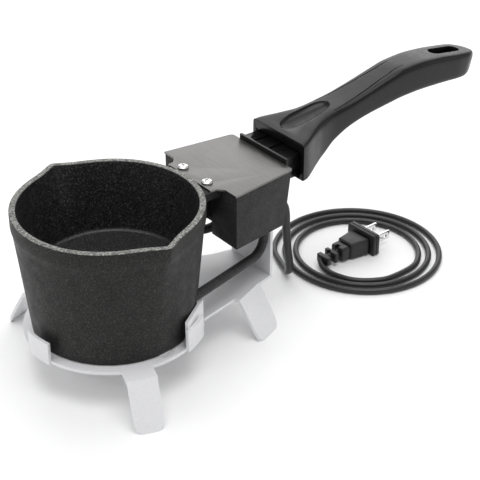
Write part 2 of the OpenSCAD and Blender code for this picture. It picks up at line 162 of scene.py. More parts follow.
def loft(name, rings, sharp=35):
    """Skin over rings that have the same number of points, closed at both ends."""
    n = len(rings[0])
    verts = [p for ring in rings for p in ring]
    faces = []
    for i in range(len(rings) - 1):
        a, b = i * n, (i + 1) * n
        faces += [(a + k, b + k, b + (k + 1) % n, a + (k + 1) % n) for k in range(n)]
    faces.append(tuple(range(n)))
    faces.append(tuple(reversed(range((len(rings) - 1) * n, len(rings) * n))))
    return new_piece(name, verts, faces, sharp)


def lathe(name, profile, centre, n=48):
    """Revolve (radius, height) points about an upright axis; a radius of 0 closes the end."""
    x, y, z = centre
    angles = [2 * math.pi * k / n for k in range(n)]
    rings = []
    for radius, height in profile:
        r = max(radius, 0.001)
        rings.append([place(x + r * math.cos(a), y + r * math.sin(a), z + height) for a in angles])
    return weld(loft(name, rings), 0.02)


def block(name, low, high, width, segments=2, turn=0.0, about=(0, 0)):
    """A block from corner to corner, turned by `turn` degrees at `about`, its edges rounded."""
    spin = Matrix.Rotation(math.radians(turn), 3, "Z")
    verts = []
    for x in (low[0], high[0]):
        for y, z in ((low[1], low[2]), (high[1], low[2]), (high[1], high[2]), (low[1], high[2])):
            v = spin @ Vector((x, y, z))
            verts.append(place(v.x + about[0], v.y + about[1], v.z))
    faces = [(0, 1, 2, 3), (7, 6, 5, 4), (0, 4, 5, 1), (1, 5, 6, 2), (2, 6, 7, 3), (3, 7, 4, 0)]
    obj = new_piece(name, verts, faces)
    return bevel(obj, width, segments) if width else obj


def smooth_points(points, step):
    """Centripetal curve through points (millimetres), sampled about every step millimetres."""
    pts = [Vector(p) for p in points]
    pts = [2 * pts[0] - pts[1]] + pts + [2 * pts[-1] - pts[-2]]
    out = []
    for i in range(1, len(pts) - 2):
        p0, p1, p2, p3 = pts[i - 1:i + 3]
        t0 = 0.0
        t1 = t0 + (p1 - p0).length ** 0.5
        t2 = t1 + (p2 - p1).length ** 0.5
        t3 = t2 + (p3 - p2).length ** 0.5
        count = max(2, round((p2 - p1).length / step))
        for k in range(count):
            t = t1 + (t2 - t1) * k / count
            a1 = (t1 - t) / (t1 - t0) * p0 + (t - t0) / (t1 - t0) * p1
            a2 = (t2 - t) / (t2 - t1) * p1 + (t - t1) / (t2 - t1) * p2
            a3 = (t3 - t) / (t3 - t2) * p2 + (t - t2) / (t3 - t2) * p3
            b1 = (t2 - t) / (t2 - t0) * a1 + (t - t0) / (t2 - t0) * a2
            b2 = (t3 - t) / (t3 - t1) * a2 + (t - t1) / (t3 - t1) * a3
            out.append((t2 - t) / (t2 - t1) * b1 + (t - t1) / (t2 - t1) * b2)
    out.append(pts[-2])
    return out


def sweep(name, points, radius, sides, sharp=60):
    """A tube along points in millimetres; radius is a number, or a function of the share of the points."""
    pts = [Vector(p) for p in points]
    n = len(pts)
    heads = []
    for i in range(n):
        heads.append((pts[min(i + 1, n - 1)] - pts[max(i - 1, 0)]).normalized())
    side = heads[0].cross(Vector((0, 0, 1)))
    if side.length < 0.1:
        side = heads[0].cross(Vector((0, 1, 0)))
    side.normalize()
    rings = []
    for i, (p, d) in enumerate(zip(pts, heads)):
        side = (side - d * side.dot(d)).normalized()
        lift = d.cross(side)
        r = radius(i / (n - 1)) if callable(radius) else radius
        ring = []
        for k in range(sides):
            a = 2 * math.pi * k / sides
            v = p + (side * math.cos(a) + lift * math.sin(a)) * r
            ring.append(place(v.x, v.y, v.z))
        rings.append(ring)
    return loft(name, rings, sharp)


def refined(name, node, width, segments=2, limit=30):
    """A copy of a CAD node's solid with its edges rounded."""
    source = frame["nodes"][node]
    mesh = source.data.copy()
    obj = bpy.data.objects.new(name, mesh)
    bpy.context.collection.objects.link(obj)
    mesh.materials.clear()
    bm = bmesh.new()
    bm.from_mesh(mesh)
    bmesh.ops.remove_doubles(bm, verts=bm.verts, dist=0.005 * MM)
    bmesh.ops.dissolve_limit(bm, angle_limit=math.radians(1), verts=bm.verts, edges=bm.edges)
    bm.to_mesh(mesh)
    bm.free()
    for layer in list(mesh.uv_layers):
        mesh.uv_layers.remove(layer)
    return bevel(obj, width, segments, limit)


# ---- materials ----------------------------------------------------------

def linear(c):
    """A display value from 0 to 1 as light."""
    return c / 12.92 if c <= 0.04045 else ((c + 0.055) / 1.055) ** 2.4


def rgb(r, g, b):
    """A display colour of 0 to 255 a channel, as a linear colour with full cover."""
    return (linear(r / 255), linear(g / 255), linear(b / 255), 1.0)


class Finish:
    """A procedural material: speckled colour, uneven roughness and a fine bump, in object coordinates."""

    def __init__(self, name, metallic=0.0, specular=0.5):
        self.material = bpy.data.materials.new(name)
        self.material.use_nodes = True
        self.nodes = self.material.node_tree.nodes
        self.links = self.material.node_tree.links
        self.shader = self.nodes["Principled BSDF"]
        self.shader.inputs["Metallic"].default_value = metallic
        self.shader.inputs["Specular IOR Level"].default_value = specular
        self.coords = self.nodes.new("ShaderNodeTexCoord").outputs["Object"]
        self.height = None

    def stretch(self, x, y, z):
        node = self.nodes.new("ShaderNodeMapping")
        node.inputs["Scale"].default_value = (x, y, z)
        self.links.new(self.coords, node.inputs["Vector"])
        return node.outputs["Vector"]

    def noise(self, scale, detail=3.0, rough=0.6, vector=None):
        node = self.nodes.new("ShaderNodeTexNoise")
        node.inputs["Scale"].default_value = scale
        node.inputs["Detail"].default_value = detail
        node.inputs["Roughness"].default_value = rough
        self.links.new(vector or self.coords, node.inputs["Vector"])
        return node.outputs["Fac"]

    def ramp(self, source, stops):
        node = self.nodes.new("ShaderNodeValToRGB")
        band = node.color_ramp
        while len(band.elements) < len(stops):
            band.elements.new(0.5)
        for element, (position, colour) in zip(band.elements, stops):
            element.position = position
            element.color = colour
        self.links.new(source, node.inputs["Fac"])
        return node.outputs["Color"]

    def span(self, source, low, high, out_low, out_high):
        node = self.nodes.new("ShaderNodeMapRange")
        limits = {"From Min": low, "From Max": high, "To Min": out_low, "To Max": out_high}
        for key, value in limits.items():
            node.inputs[key].default_value = value
        self.links.new(source, node.inputs["Value"])
        return node.outputs["Result"]

    def mix(self, share, a, b):
        node = self.nodes.new("ShaderNodeMix")
        node.data_type = "RGBA"
        for socket, value in (("Factor", share), ("A", a), ("B", b)):
            target = [s for s in node.inputs if s.name == socket and s.enabled][0]
            if isinstance(value, bpy.types.NodeSocket):
                self.links.new(value, target)
            else:
                target.default_value = value
        return [s for s in node.outputs if s.enabled][0]

    def axis(self, which):
        node = self.nodes.new("ShaderNodeSeparateXYZ")
        self.links.new(self.coords, node.inputs["Vector"])
        return node.outputs[which]

    def colour(self, source):
        self.links.new(source, self.shader.inputs["Base Color"])

    def roughness(self, source):
        self.links.new(source, self.shader.inputs["Roughness"])

    def bump(self, source, distance, strength=1.0):
        node = self.nodes.new("ShaderNodeBump")
        node.inputs["Distance"].default_value = distance * MM
        node.inputs["Strength"].default_value = strength
        self.links.new(source, node.inputs["Height"])
        if self.height is not None:
            self.links.new(self.height, node.inputs["Normal"])
        self.height = node.outputs["Normal"]
        self.links.new(self.height, self.shader.inputs["Normal"])


def cast_finish(name, dark, light):
    """Sprayed non-stick coat over a casting: grainy, with fine light specks."""
    f = Finish(name, specular=0.3)
    grain = f.noise(1100, 4, 0.7)
    f.colour(f.ramp(grain, [(0.36, dark), (0.5, dark), (0.74, light)]))
    f.roughness(f.span(f.noise(160, 3), 0.3, 0.7, 0.5, 0.68))
    f.bump(f.noise(900, 3, 0.65), 0.1, 0.6)
    f.bump(f.noise(90, 2), 0.12, 0.25)
    return f.material


def plastic_finish(name, base, tint, rough=0.36, grain=1500, depth=0.03, specular=0.5):
    """Moulded plastic with a fine spark-eroded skin."""
    f = Finish(name, specular=specular)
    f.colour(f.ramp(f.noise(45, 4), [(0.3, base), (0.7, tint)]))
    f.roughness(f.span(f.noise(220, 4), 0.3, 0.7, rough - 0.05, rough + 0.07))
    f.bump(f.noise(grain, 2), depth, 0.6)
    return f.material


def metal_finish(name, base, tint, rough=0.35, stretch=None, depth=0.02, metallic=1.0, scale=400):
    """Metal whose grain runs along one axis where stretch is given."""
    f = Finish(name, metallic=metallic, specular=0.5)
    vector = f.stretch(*stretch) if stretch else None
    grain = f.noise(scale, 5, 0.65, vector)
    f.colour(f.ramp(grain, [(0.3, base), (0.7, tint)]))
    f.roughness(f.span(grain, 0.3, 0.7, rough - 0.06, rough + 0.08))
    f.bump(grain, depth, 0.7)
    return f.material


def pot_finish():
    """Dark speckled coat, with a paler worn band on the rim's top face."""
    f = Finish("cast_pot", specular=0.3)
    grain = f.noise(950, 4, 0.7)
    outside = f.ramp(grain, [(0.4, rgb(12, 12, 12)), (0.52, rgb(24, 24, 23)), (0.64, rgb(54, 53, 51))])
    rim = f.ramp(grain, [(0.38, rgb(62, 62, 60)), (0.5, rgb(104, 104, 101)), (0.64, rgb(164, 164, 159))])
    height = f.span(f.axis("Z"), (RIM_Z - 0.35) * MM, (RIM_Z - 0.1) * MM, 0, 1)
    f.colour(f.mix(height, outside, rim))
    f.roughness(f.span(f.noise(140, 3), 0.3, 0.7, 0.48, 0.64))
    f.bump(f.noise(900, 4, 0.7), 0.18, 0.7)
    f.bump(f.noise(80, 2), 0.15, 0.25)
    return f.material


def inside_finish():
    """The bowl's blacker coat with fine light specks."""
    f = Finish("pot_inside", specular=0.45)
    grain = f.noise(1050, 4, 0.75)
    f.colour(f.ramp(grain, [(0.42, rgb(10, 9, 10)), (0.53, rgb(24, 23, 24)), (0.62, rgb(84, 82, 83))]))
    f.roughness(f.span(f.noise(160, 3), 0.3, 0.7, 0.32, 0.46))
    f.bump(f.noise(1000, 4, 0.7), 0.22, 0.8)
    return f.material


def cover_finish():
    """Steel sheet brushed across the handle's direction, with a fine streak pattern."""
    f = Finish("cover_steel", metallic=1.0)
    streaks = f.noise(60, 6, 0.7, f.stretch(30, 0.8, 1))
    fine = f.noise(180, 4, 0.7, f.stretch(26, 1.0, 1))
    base = f.ramp(streaks, [(0.3, rgb(106, 105, 104)), (0.7, rgb(128, 127, 126))])
    f.colour(f.mix(0.35, base, f.ramp(fine, [(0.35, rgb(98, 98, 96)), (0.65, rgb(138, 137, 135))])))
    f.roughness(f.span(fine, 0.3, 0.7, 0.34, 0.5))
    f.bump(fine, 0.015, 0.6)
    return f.material


MATERIALS = {
    "cast_pot": pot_finish(),
    "pot_inside": inside_finish(),
    "heater_tube": cast_finish("heater_tube", rgb(42, 41, 43), rgb(84, 82, 84)),
    "housing_paint": cast_finish("housing_paint", rgb(38, 37, 38), rgb(70, 68, 70)),
    "cover_steel": cover_finish(),
    "screw_chrome": metal_finish("screw_chrome", rgb(225, 225, 226), rgb(240, 240, 241), 0.12, depth=0.002),
    "handle_plastic": plastic_finish("handle_plastic", rgb(6, 6, 7), rgb(11, 11, 12), 0.3, specular=0.33),
    "stand_aluminium": metal_finish("stand_aluminium", rgb(224, 224, 226), rgb(232, 232, 234), 0.4,
                                    depth=0.008, metallic=0.0, scale=700),
    "cord_rubber": plastic_finish("cord_rubber", rgb(26, 25, 27), rgb(34, 33, 35), 0.36, 900, 0.02),
    "plug_plastic": plastic_finish("plug_plastic", rgb(24, 24, 25), rgb(32, 32, 33), 0.42, 1200, 0.03),
    "blade_nickel": metal_finish("blade_nickel", rgb(214, 214, 214), rgb(236, 236, 236), 0.2, depth=0.004),
    "plain_steel": metal_finish("plain_steel", rgb(176, 176, 176), rgb(200, 200, 200), 0.32, (8, 1, 1)),
    "dark_steel": metal_finish("dark_steel", rgb(58, 58, 62), rgb(78, 78, 82), 0.42, (4, 1, 1)),
    "ceramic_white": plastic_finish("ceramic_white", rgb(226, 222, 208), rgb(238, 235, 224), 0.3, 600),
    "brass_fitting": metal_finish("brass_fitting", rgb(190, 158, 86), rgb(212, 182, 108), 0.28),
    "insulation_wool": plastic_finish("insulation_wool", rgb(214, 208, 192), rgb(232, 228, 214), 0.85, 500,
                                      0.2),
    "mica_brown": plastic_finish("mica_brown", rgb(166, 140, 100), rgb(190, 166, 122), 0.4, 300),
    "wire_brown": plastic_finish("wire_brown", rgb(96, 58, 32), rgb(114, 72, 42), 0.5),
    "wire_white": plastic_finish("wire_white", rgb(214, 214, 208), rgb(230, 230, 226), 0.5),
    "wire_red": plastic_finish("wire_red", rgb(152, 40, 32), rgb(172, 54, 42), 0.5),
}

for part in frame["record"]["subparts"]:
    node = frame["nodes"][part["node"]]
    node.data.materials.clear()
    node.data.materials.append(MATERIALS[part["material_slot"]])


def dress(obj, slot, body, replaces=()):
    """Material, record slot, body and the CAD nodes that the piece stands for."""
    if not obj.data.materials:
        obj.data.materials.append(MATERIALS[slot])
    if replaces:
        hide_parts(*replaces)
    if body:
        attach(obj, body)
    return obj


# ---- cord ---------------------------------------------------------------

CORD_D = 4.0
SLEEVE_D = 5.4
SLEEVE_ROUND_FROM = 0.97
SLEEVE_ROUND_OVER = 0.034
BOOT_AT = Vector((109.8, -6, 74))
BOOT_START = Vector((112.2, -6, 73.8))
# points listed one by one, from the strain relief down to the table, and from the coil into the plug
drop_route = [
    (127.3, -2.4, 64.9), (129, -2, 63.8), (131, -1.5, 62), (132.7, -1.1, 59.4), (133.6, -0.9, 56.2),
    (134, -0.9, 52.6), (134.1, -1, 47), (134.4, -1.2, 41), (134.8, -1.4, 35), (135.3, -1.5, 29),
    (135.9, -1.6, 23.5), (136.7, -1.6, 18.5), (137.5, -1.3, 14), (138.4, -0.4, 9.9),
    (139.5, 1.8, 6.2), (141, 5.2, 3.7), (142.6, 8.6, 2.8),
]
tail_route = [
    (190.5, -41.4, 2), (184, -38.9, 2), (178, -35.4, 2), (172.9, -31, 2), (169, -25.8, 2),
    (166.2, -19.6, 2.1), (164.4, -13.6, 2.3), (163.9, -8.2, 2.8), (164.6, -3.8, 3.5),
    (166.3, -0.2, 4.4), (169, 2.6, 5.3),
]
COIL_CENTRE = (199.4, -2.7)
COIL_START = 172.0
COIL_FIRST = 0.06
COIL_LAST = 2.7
COIL_R = 58.7
COIL_PITCH = 7.4
OVAL = 0.84
OVAL_AT = 124
FLARE = 1.2
FLARE_FROM = 2.3
FLARE_OVER = 0.43
POINTS_A_TURN = 24


def coil_radius(turns):
    """The loops tighten by COIL_PITCH a turn, are slightly oval, and widen a little at their inner end."""
    angle = math.radians(COIL_START - 360 * turns)
    ease = clamped((turns - FLARE_FROM) / FLARE_OVER, 0, 1)
    oval = OVAL * math.cos(2 * angle + math.radians(OVAL_AT))
    return COIL_R - COIL_PITCH * turns + oval + FLARE * ease * ease


def coil_points():
    """The flat coil on the table, from its outer end inwards."""
    out = []
    for k in range(math.ceil(COIL_FIRST * POINTS_A_TURN), math.floor(COIL_LAST * POINTS_A_TURN) + 1):
        turns = k / POINTS_A_TURN
        angle = math.radians(COIL_START - 360 * turns)
        r = coil_radius(turns)
        out.append((COIL_CENTRE[0] + r * math.cos(angle), COIL_CENTRE[1] + r * math.sin(angle), CORD_D / 2))
    return out


boot_way = Vector(drop_route[0]) - BOOT_START
route = [tuple(BOOT_START + boot_way * share) for share in (0.1, 0.4, 0.7)]
route += drop_route + coil_points() + tail_route
# the curve may dip between its points, so it is kept up by its own radius
cord_line = [Vector((p.x, p.y, max(p.z, CORD_D / 2))) for p in smooth_points(route, 2.2)]
cord = sweep("power_cord", cord_line, CORD_D / 2, 14)


def sleeve_radius(share):
    """Full radius but for a rounded end by the table."""
    if share < SLEEVE_ROUND_FROM:
        return SLEEVE_D / 2
    past = (share - SLEEVE_ROUND_FROM) / SLEEVE_ROUND_OVER
    return SLEEVE_D / 2 * math.sqrt(max(1 - past ** 2, 0.2))


sleeve_route = [tuple(BOOT_START + boot_way * 0.8)] + drop_route[:-2]
sleeve = sweep("cord_sleeve", smooth_points(sleeve_route, 1.6), sleeve_radius, 18)


# ---- strain relief on the housing ------------------------------------------

BOOT_STEPS = 39
BOOT_R = 4.5
BOOT_TAPER = 1.5
RIB_DEPTH = 0.35
RIB_TURN = 44
# distance out of the wall and radius
flange_steps = [(0, 4.6), (0.25, 4.95), (0.6, 5), (2.6, 5), (3.1, 4.8), (3.4, 4.4)]


def boot_radius(share):
    """A taper with shallow ribs, plain at both ends."""
    ribbed = 0.12 < share < 0.86 and math.sin(share * RIB_TURN) > 0
    return BOOT_R - BOOT_TAPER * share - (RIB_DEPTH if ribbed else 0)


def flange_radius(share):
    """The radius of the flange's step at this share of its points."""
    return flange_steps[round(share * (len(flange_steps) - 1))][1]


boot_points = [tuple(BOOT_START + boot_way * (k / BOOT_STEPS)) for k in range(BOOT_STEPS + 1)]
boot = sweep("cord_boot_ribbed", boot_points, boot_radius, 24, sharp=30)
flange_points = [tuple(BOOT_AT + Vector((out, 0, 0))) for out, _ in flange_steps]
boot_flange = sweep("cord_boot_flange", flange_points, flange_radius, 32)


# ---- plug ---------------------------------------------------------------

PLUG_AT = (206.6, 0.3)
PLUG_TURN = 2
PLUG_W = 26.4
PLUG_H = 15.8


def plug_xy(x, y):
    """A place on the plug, x towards its blades, as millimetres from the pot's axis."""
    a = math.radians(PLUG_TURN)
    return (PLUG_AT[0] + x * math.cos(a) - y * math.sin(a), PLUG_AT[1] + x * math.sin(a) + y * math.cos(a))


def plug_ring(x, half, low, top, cut):
    """Eight-sided outline across the plug, its corners cut by `cut`."""
    pts = [(half - cut, low), (half, low + cut), (half, top - cut), (half - cut, top),
           (cut - half, top), (-half, top - cut), (-half, low + cut), (cut - half, low)]
    return [place(*plug_xy(x, y), z) for y, z in pts]


def plug_loft(name, stations, width):
    """Stations: x, half width, underside, top, cut of the corners."""
    obj = loft(name, [plug_ring(*s) for s in stations])
    return bevel(obj, width, 2, 25)


def flange_station(x, inset):
    """The flange's outline at x, drawn in by `inset` all round."""
    return (x, PLUG_W / 2 - inset, inset, PLUG_H - inset, 1.2)


# x and inset: full from -3.2 to 1.5, but for a groove half a millimetre deep round the edge
flange_insets = [(-3.6, 0.5), (-3.2, 0), (-1.7, 0), (-1.5, 0.5), (-1.1, 0.5), (-0.9, 0), (1.5, 0)]
plug_flange = plug_loft("plug_flange", [flange_station(x, inset) for x, inset in flange_insets], 0.25)
plug_neck = plug_loft("plug_neck", [(-5, 8, 1, 11.8, 0.8), (-3.3, 8, 1, 11.8, 0.8)], 0.15)
plug_front = plug_loft("plug_front", [
    (-19, 5.6, 1.4, 12, 1.2), (-18.1, 7, 0.5, 12.8, 1.4), (-9, 8.4, 0.4, 12.8, 1.2),
    (-5.6, 9.2, 0.4, 12.8, 1), (-4.8, 9.2, 0.4, 12.8, 1)], 0.3)
plug_shoulder = plug_loft("plug_shoulder", [(-21, 5.6, 1.5, 10.2, 0.8), (-18.6, 5.6, 1.5, 10.2, 0.8)], 0.2)
plug_waist = plug_loft("plug_waist", [
    (-26.2, 5.2, 1.8, 11, 1.1), (-25.4, 5.8, 1.5, 11.4, 1.1), (-20.2, 6, 1.4, 11.4, 1.1)], 0.3)


def plug_block(name, x, y, half, low, top, thick, width=0.5):
    """A block across the plug: one tooth of its strain relief, or a notch to cut."""
    return block(name, (-thick / 2, -half, low), (thick / 2, half, top), width, 2, PLUG_TURN, plug_xy(x, y))


carve(plug_waist, [plug_block("cut", -25.6, 0.6, 1.6, 8.4, 14, 4, 0.3)], sharp=30)
comb_middle = plug_block("plug_comb_middle", -31.1, 0, 5.4, 2.6, 9.9, 3)
carve(comb_middle, [plug_block("cut", -32.4, 1.2, 1.6, 7, 14, 2)], sharp=30)
comb_end = plug_block("plug_comb_end", -37.8, 0.3, 5.4, 2.6, 8.6, 3.5)
spine_route = [(*plug_xy(x, 0), z) for x, z in ((-25.6, 6.2), (-29.5, 6), (-33.5, 5.8), (-38.4, 5.6))]
spine = sweep("plug_spine", smooth_points(spine_route, 1.2), 2.6, 18)
plug_pieces = [plug_flange, plug_neck, plug_front, plug_shoulder, plug_waist, spine, comb_middle, comb_end]
plug_blades = refined("plug_blades_rounded", "plug_blades", 0.3, 2)


# ---- cord and plug: materials and bodies ---------------------------------

dress(boot, "cord_rubber", "pot_unit", ["cord_boot"])
dress(boot_flange, "cord_rubber", "pot_unit", ["cord_boot"])
for piece in plug_pieces:
    dress(piece, "plug_plastic", "stand", ["plug_body"])
dress(plug_blades, "blade_nickel", "stand", ["plug_blades"])
dress(sleeve, "cord_rubber", None, ["cord_drop"])
dress(cord, "cord_rubber", None, ["cord_drop", "cord_coil", "cord_tail"])
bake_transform(sleeve)
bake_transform(cord)


# ---- pot ----------------------------------------------------------------

AROUND = 288
LIP_OUT = 6.4
LIP_SPREAD = 8.8
LIP_FADE = 40.0
LIP_SHAPE = 1.35
RIM_WALL = 4.0
FLOOR_Z = 62.0
FLOOR_FILLET = 2.6
WALL_LOW_R = 47.0
BOWL_R = RIM_R - RIM_WALL
LIP_LOWEST = FLOOR_Z + 6
SEAT_Z = 50.6
HOLLOW_Z = 56.6
SIDE_STEPS = 22
RUN_ANGLE = 13.3
LOOP_R = 43.1
TUBE_Z = 47.6
TUBE_R = 3.0


def lip_share(angle):
    """1 in the middle of a pouring lip, on -Y and on +Y, and nearly 0 away from both."""
    away = abs((math.degrees(angle) % 180) - 90)
    return math.exp(-(away / LIP_SPREAD) ** LIP_SHAPE)


def lip_depth(z):
    """How much of the lip is left at a height: all of it at the rim, none below the fade."""
    t = clamped((z - (RIM_Z - LIP_FADE)) / LIP_FADE, 0, 1)
    return t * t * (1.9 - 0.9 * t)


def arc(centre, radius, start, end, count):
    """Points (radius, height) on an arc between two angles in degrees."""
    out = []
    for k in range(count + 1):
        a = math.radians(start + (end - start) * k / count)
        out.append((centre[0] + radius * math.cos(a), centre[1] + radius * math.sin(a)))
    return out


# the casting's outline as (radius, height): bowl, rim and side, then the foot and its hollow
inside = [(r, FLOOR_Z) for r in (0, 12, 26, 38, 42)] + [(43.9, FLOOR_Z + 0.05)]
inside += arc((44.2, FLOOR_Z + FLOOR_FILLET), FLOOR_FILLET, -82, -6, 8)
inside += [(WALL_LOW_R + (BOWL_R - WALL_LOW_R) * t, FLOOR_Z + 3 + (RIM_Z - FLOOR_Z - 3) * t)
           for t in (0.06, 0.14, 0.22, 0.3, 0.38, 0.46, 0.54, 0.62, 0.7, 0.78, 0.86, 0.93)]
inside += [(BOWL_R - 0.08, RIM_Z - 0.9), (BOWL_R + 0.02, RIM_Z - 0.42), (BOWL_R + 0.14, RIM_Z - 0.14),
           (BOWL_R + 0.4, RIM_Z)]
outside = [(RIM_R - 0.42, RIM_Z), (RIM_R - 0.14, RIM_Z - 0.14), (RIM_R - 0.02, RIM_Z - 0.42),
           (RIM_R, RIM_Z - 1)]
outside += [(RIM_R, RIM_Z - d) for d in (3, 5.5, 8)]
outside += [(RIM_R - 0.08, RIM_Z - 9.2), (RIM_R - 0.3, RIM_Z - 10.4), (RIM_R - 0.62, RIM_Z - 11.6),
            (RIM_R - 0.92, RIM_Z - 12.8)]
side_top = (RIM_R - 1.15, RIM_Z - 14.4)
side_low = (49.5, FOOT_Z + 2.4)
for k in range(SIDE_STEPS + 1):
    share = k / SIDE_STEPS
    outside.append((side_top[0] + (side_low[0] - side_top[0]) * share,
                    side_top[1] + (side_low[1] - side_top[1]) * share))
outside += [(49.3, FOOT_Z + 1.2), (48.8, FOOT_Z + 0.4), (48, FOOT_Z)]
under = [(46.9, FOOT_Z), (46.4, FOOT_Z + 0.5), (46.4, SEAT_Z), (36, SEAT_Z)]
under += [(r, HOLLOW_Z) for r in (34, 16, 0)]


def pot_ring(radius, z, round_low):
    """One level outline of the casting, drawn out at both lips; round_low keeps the bowl's foot round."""
    ring = []
    for k in range(AROUND):
        a = 2 * math.pi * k / AROUND
        out = 0 if round_low and z < LIP_LOWEST else LIP_OUT * lip_share(a) * lip_depth(z)
        ring.append(place((radius + out) * math.cos(a), (radius + out) * math.sin(a), z))
    return ring


pot_rings = [pot_ring(max(r, 0.01), z, True) for r, z in inside]
pot_rings += [pot_ring(r, z, False) for r, z in outside]
pot_rings += [pot_ring(max(r, 0.01), z, True) for r, z in under]
pot = weld(loft("pot_casting", pot_rings), 0.05)


def run_point(side, along):
    """A point on one of the two straight heater runs, `along` millimetres from where it leaves the loop."""
    a = math.radians(RUN_ANGLE)
    x, y = LOOP_R * math.sin(a), -LOOP_R * math.cos(a)
    return (x + along * math.cos(a), -side * (y + along * math.sin(a)), TUBE_Z)


HOLE_R = TUBE_R + 0.45
carve(pot, [sweep("hole", [run_point(side, 6), run_point(side, 50)], HOLE_R, 32) for side in (-1, 1)])
pot.data.materials.append(MATERIALS["cast_pot"])
pot.data.materials.append(MATERIALS["pot_inside"])
for face in pot.data.polygons:
    c = face.center - place(0, 0, 0)
    inward = face.normal.x * c.x + face.normal.y * c.y < -0.2 * math.hypot(c.x, c.y)
    bowl_floor = face.normal.z > 0.5 and c.z < (RIM_Z - 20) * MM
    in_bowl = (FLOOR_Z - 2) * MM < c.z < (RIM_Z - 0.05) * MM
    if in_bowl and (inward or bowl_floor):
        face.material_index = 1
dress(pot, "cast_pot", "pot_unit", ["pot"])

# the lug that carries the housing, and the web below it, both cut off where the pot's wall is
LUG_END = 66.2
lug = block("pot_lug", (50, -22, BOX_TOP - 5.3), (LUG_END, 22, BOX_TOP), 0.8, 3)
web = block("pot_web", (48, -9, 78), (LUG_END, 9, BOX_TOP - 3), 1.2, 3)
for piece in (lug, web):
    cutter = lathe("cutter", [(0, 40), (52.5, 40), (54.5, RIM_Z + 5), (0, RIM_Z + 5)], (0, 0, 0), 96)
    carve(piece, [cutter])
    dress(piece, "cast_pot", "pot_unit")


# ---- heater ---------------------------------------------------------------

BEND_R = 12.0
RISER_X = 99.8
RISER_TOP = 84.0
BEND_STEPS = 12
LOOP_STEPS = 32
run_turn = math.radians(RUN_ANGLE)
run_y = LOOP_R / math.cos(run_turn) - RISER_X * math.tan(run_turn)
run_dir = Vector((math.cos(run_turn), math.sin(run_turn), 0))
bend_from = Vector((RISER_X, -run_y, TUBE_Z + BEND_R)) - BEND_R * run_dir
# from the near riser's top down, along the run and halfway round the loop; the other half mirrors it
half_heater = [Vector((RISER_X, -run_y, RISER_TOP - d)) for d in (0, 9, 18)]
for k in range(BEND_STEPS + 1):
    a = math.radians(90 * k / BEND_STEPS)
    half_heater.append(bend_from + BEND_R * (math.cos(a) * run_dir - Vector((0, 0, math.sin(a)))))
loop_start = Vector((LOOP_R * math.sin(run_turn), -LOOP_R * math.cos(run_turn), TUBE_Z))
bend_end = half_heater[-1]
half_heater += [bend_end.lerp(loop_start, share) for share in (0.2, 0.4, 0.6, 0.8)]
for k in range(LOOP_STEPS + 1):
    a = math.radians(RUN_ANGLE - 90 - k * (90 + RUN_ANGLE) / LOOP_STEPS)
    half_heater.append(Vector((LOOP_R * math.cos(a), LOOP_R * math.sin(a), TUBE_Z)))
other_half = [Vector((p.x, -p.y, p.z)) for p in reversed(half_heater[:-1])]
heater = sweep("heater_tube", half_heater + other_half, TUBE_R, 24)
dress(heater, "heater_tube", "pot_unit", ["heating_element"])


# ---- housing, cover and screws ------------------------------------------------

housing = refined("housing_rounded", "housing", 0.7, 3)
dress(housing, "housing_paint", "pot_unit", ["housing"])
cover = refined("cover_plate_rounded", "cover_plate", 0.28, 2)
dress(cover, "cover_steel", "pot_unit", ["cover_plate"])
SCREW_X = 62.4
SCREW_Y = 12.2
HEAD_R = 3.5
HEAD_EDGE = 0.7
HEAD_DOME = 1.5


def cover_screw(name, x, y, turn):
    """Pan head with a cross recess."""
    profile = [(0, -6), (2, -6), (2, 0), (3.3, 0), (HEAD_R, 0.25), (HEAD_R, HEAD_EDGE)]
    for degrees in range(12, 90, 11):
        a = math.radians(degrees)
        profile.append((HEAD_R * math.cos(a), HEAD_EDGE + HEAD_DOME * math.sin(a)))
    profile.append((0, HEAD_EDGE + HEAD_DOME))
    head = lathe(name, profile, (x, y, COVER_TOP))
    low, high = (-1.7, -0.36, COVER_TOP + 0.9), (1.7, 0.36, COVER_TOP + 4)
    slots = [block("slot", low, high, 0, 1, turn + extra, (x, y)) for extra in (0, 90)]
    return carve(head, slots, sharp=30)


for label, side, turn in (("near", -1, 20), ("far", 1, 65)):
    dress(cover_screw("cover_screw_" + label, SCREW_X, side * SCREW_Y, turn), "screw_chrome", "pot_unit",
          ["cover_screws"])


# ---- handle adapter ---------------------------------------------------------

adapter = refined("handle_adapter_rounded", "handle_adapter", 0.35, 2)
dress(adapter, "handle_plastic", "pot_unit", ["handle_adapter"])


# ---- handle -------------------------------------------------------------------

GRIP_END = 295.95
HANDLE_SIDES = 96
END_LEAN = 0.28
# stations: x, half width, top, underside, corner exponent (1 is round, near 0 is square)
handle_stations = [
    (127.2, 25.2, 114.8, 89.9, 0.12), (131, 24.2, 115.7, 89.7, 0.14), (136, 22, 116.7, 90.6, 0.18),
    (143, 18.6, 118.2, 92.3, 0.25), (153, 14.6, 119.8, 95.2, 0.3), (164, 12.6, 121.8, 101.4, 0.32),
    (176, 12.2, 123.4, 106.4, 0.32), (192, 11.9, 126.8, 110.1, 0.32), (210, 11.8, 131.2, 112.4, 0.32),
    (225, 12, 134.4, 114.1, 0.32), (240, 12.3, 135.15, 114.7, 0.32), (258, 12.5, 133.9, 114.3, 0.32),
    (273, 12.5, 131.8, 113.6, 0.32), (284, 11.6, 130.2, 112.8, 0.34), (290, 9.2, 128.6, 112.6, 0.38),
    (293.5, 6.4, 127.4, 112.8, 0.42), (GRIP_END, 2.8, 126.2, 113.4, 0.5),
]


